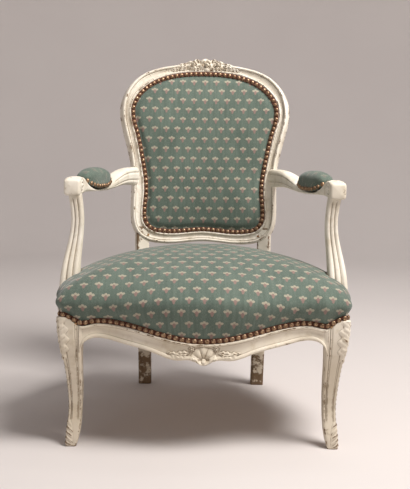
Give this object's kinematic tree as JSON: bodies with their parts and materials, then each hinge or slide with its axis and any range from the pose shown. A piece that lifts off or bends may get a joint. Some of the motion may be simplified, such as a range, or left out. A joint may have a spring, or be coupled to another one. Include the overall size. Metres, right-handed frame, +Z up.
{
  "type": "fauteuil",
  "caption": "Louis XV style open armchair: carved painted frame on cabriole legs, arched back, padded elbows, and a domed seat in sprigged cloth edged with nails.",
  "frame": {"origin": "on the floor, under the middle of the chair's bounding box", "axes": "+Z up, +X to the right seen from the front, and the chair faces -Y"},
  "size_m": [0.639, 0.6376, 0.8672],
  "materials": {
    "painted_wood": "satin",
    "bare_wood": "matte",
    "jute_webbing": "matte",
    "hessian": "matte",
    "horsehair": "matte",
    "cover_fabric": "matte",
    "gimp": "matte",
    "antique_brass": "satin"
  },
  "bodies": {
    "root": {"front_leg_left": "painted_wood", "front_leg_right": "painted_wood", "rear_stile_left": "painted_wood", "rear_stile_right": "painted_wood", "front_seat_rail": "painted_wood", "side_seat_rail_left": "painted_wood", "side_seat_rail_right": "painted_wood", "rear_seat_rail": "painted_wood", "crest_rail": "painted_wood", "back_lower_rail": "painted_wood", "armrest_left": "painted_wood", "armrest_right": "painted_wood", "arm_support_left": "painted_wood", "arm_support_right": "painted_wood", "corner_block_front_left": "bare_wood", "corner_block_front_right": "bare_wood", "corner_block_rear_left": "bare_wood", "corner_block_rear_right": "bare_wood", "seat_frame_pegs": "bare_wood", "back_frame_pegs": "bare_wood", "seat_webbing_lengthwise": "jute_webbing", "seat_webbing_crosswise": "jute_webbing", "back_webbing": "jute_webbing", "seat_hessian": "hessian", "back_hessian": "hessian", "seat_stuffing": "horsehair", "back_stuffing": "horsehair", "arm_pad_stuffing_left": "horsehair", "arm_pad_stuffing_right": "horsehair", "seat_cover": "cover_fabric", "back_cover": "cover_fabric", "arm_pad_cover_left": "cover_fabric", "arm_pad_cover_right": "cover_fabric", "back_outside_cover": "cover_fabric", "seat_gimp": "gimp", "back_gimp": "gimp", "back_rear_gimp": "gimp", "seat_nails": "antique_brass", "back_nails": "antique_brass", "back_rear_nails": "antique_brass", "arm_pad_nails_left": "antique_brass", "arm_pad_nails_right": "antique_brass"}
  },
  "joints": []
}
